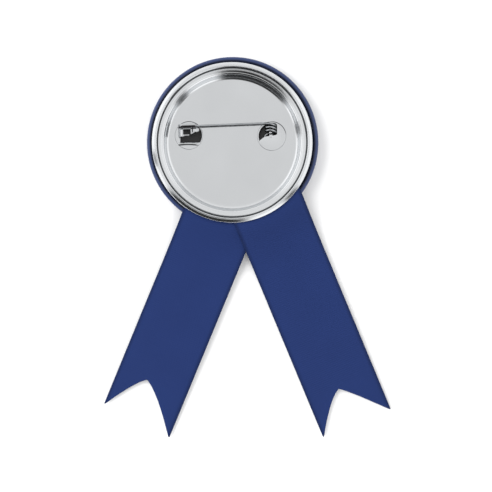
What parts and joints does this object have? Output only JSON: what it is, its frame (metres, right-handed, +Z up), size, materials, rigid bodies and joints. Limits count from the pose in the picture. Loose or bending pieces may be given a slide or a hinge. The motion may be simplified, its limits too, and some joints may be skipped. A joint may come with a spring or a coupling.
{
  "type": "ribbon pin",
  "caption": "Round button badge with a tinplate back, a sprung pin in a hook catch, and two swallow-tail ribbon tails crimped under the rim.",
  "frame": {"origin": "middle of the part's footprint on the surface that it lies on", "axes": "+Z up out of the badge's back, away from the surface; +Y towards the top of the badge, the tails run to -Y; +X to the right as the back is seen"},
  "size_m": [0.0988, 0.1312, 0.0083],
  "materials": {
    "film_wrapped_shell": "gloss",
    "tinplate": "bright",
    "spring_wire": "bright drawn",
    "grosgrain_ribbon": "satin ribbed"
  },
  "bodies": {
    "badge": {"front_shell": "film_wrapped_shell", "back_plate": "tinplate", "ribbon_left": "grosgrain_ribbon", "ribbon_right": "grosgrain_ribbon"},
    "pin": {"pin_wire": "spring_wire"}
  },
  "joints": [
    {"name": "pin_swing", "type": "hinge", "parent": "badge", "child": "pin", "pos_m": [0.00806, 0.04014, 0.00408], "axis": [-0.017, 0.4223, 0.9063], "range_deg": [0, 30]}
  ]
}
